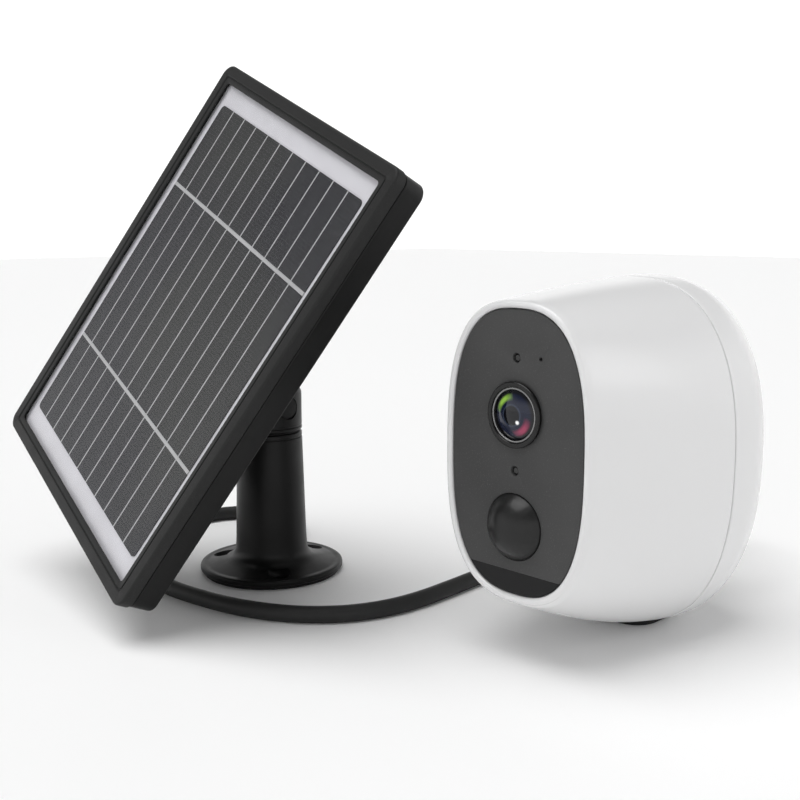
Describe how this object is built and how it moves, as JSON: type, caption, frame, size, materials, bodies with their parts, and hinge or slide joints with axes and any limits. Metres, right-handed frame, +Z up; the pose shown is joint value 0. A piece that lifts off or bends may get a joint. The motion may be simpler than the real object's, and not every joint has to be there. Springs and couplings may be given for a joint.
{
  "type": "security camera",
  "caption": "Battery security camera with a tilting solar panel on a small screw-down stand, joined by a power cord.",
  "frame": {"origin": "mouth of the camera unit's tripod thread, on the plane of its foot", "axes": "+Z up; -Y is the way the camera unit and the panel face; +X runs from the stand towards the camera unit"},
  "size_m": [0.2125, 0.2054, 0.1636],
  "materials": {
    "white_shell": "satin gloss",
    "dark_plate": "fine matt",
    "ir_filter": "polished",
    "black_metal": "black oxide",
    "black_plastic": "satin",
    "dome_plastic": "satin gloss",
    "frame_plastic": "fine matt",
    "soft_rubber": "matt",
    "cord_rubber": "matt",
    "lens_glass": "coated",
    "clear_glass": "smooth",
    "silver_ring": "polished",
    "steel": "zinc plated",
    "brass": "turned",
    "board": "solder mask",
    "inner_plastic": "moulded",
    "cell_sleeve": "shrink sleeve",
    "silicon": "anti-reflection coated",
    "ribbon": "tinned",
    "backing": "smooth",
    "chip_silicon": "polished",
    "light_pipe": "clear"
  },
  "bodies": {
    "base": {"front_shell": "white_shell", "rear_cover": "white_shell", "fascia": "dark_plate", "ir_window": "ir_filter", "lens_bezel": "black_plastic", "lens_barrel": "black_plastic", "rear_panel": "black_plastic", "stand_base": "black_plastic", "motion_dome": "dome_plastic", "shell_gasket": "soft_rubber", "foot_pad": "soft_rubber", "stand_pad": "soft_rubber", "friction_washer": "soft_rubber", "cord_tube": "cord_rubber", "cord_plug": "cord_rubber", "cord_outlet": "cord_rubber", "lens_glass": "lens_glass", "inner_lens": "lens_glass", "lens_trim_ring": "silver_ring", "shield_can": "silver_ring", "motion_sensor": "silver_ring", "microphone": "silver_ring", "board_screws": "steel", "usb_socket": "steel", "card_socket": "steel", "plug_tip": "steel", "battery_contacts": "steel", "tripod_insert": "brass", "wifi_antenna": "brass", "front_board": "board", "main_board": "board", "lens_holder": "inner_plastic", "battery_tray": "inner_plastic", "speaker": "inner_plastic", "battery_cells": "cell_sleeve", "image_sensor": "chip_silicon", "light_sensor": "light_pipe", "status_light": "light_pipe", "ir_leds": "light_pipe"},
    "swivel": {"swivel_head": "black_plastic", "pan_washer": "steel", "pan_screw": "steel", "tilt_bolt": "black_metal", "tilt_nut": "black_metal"},
    "tilter": {"knuckle": "black_plastic", "stud": "black_metal", "lock_nut": "black_plastic"},
    "panel": {"panel_frame": "frame_plastic", "panel_glass": "clear_glass", "solar_cells": "silicon", "busbars": "ribbon", "backsheet": "backing", "panel_gasket": "soft_rubber", "panel_tray": "black_plastic", "charge_board": "board", "panel_insert": "brass", "panel_screws": "steel"},
    "power_key": {"power_button": "black_plastic"},
    "reset_key": {"reset_button": "steel"},
    "card": {"microsd_card": "black_plastic"}
  },
  "joints": [
    {"name": "stand_pan", "type": "hinge", "parent": "base", "child": "swivel", "pos_m": [-0.11, -0.051, 0.05], "axis": [0, 0, 1], "range_deg": [-45, 20]},
    {"name": "panel_tilt", "type": "hinge", "parent": "swivel", "child": "tilter", "pos_m": [-0.11, -0.051, 0.0555], "axis": [-1, 0, 0], "range_deg": [0, 55]},
    {"name": "panel_roll", "type": "hinge", "parent": "tilter", "child": "panel", "pos_m": [-0.11, -0.051, 0.0555], "axis": [0, 0.9063, -0.4226], "range_deg": [-46, 0]},
    {"name": "power_press", "type": "slide", "parent": "base", "child": "power_key", "axis": [0, -1, 0], "range_m": [0, 0.0008], "stiffness_N_per_m": 300},
    {"name": "reset_press", "type": "slide", "parent": "base", "child": "reset_key", "axis": [0, -1, 0], "range_m": [0, 0.0005], "stiffness_N_per_m": 300},
    {"name": "card_slide", "type": "slide", "parent": "base", "child": "card", "axis": [0, 1, 0], "range_m": [0, 0.012]}
  ]
}
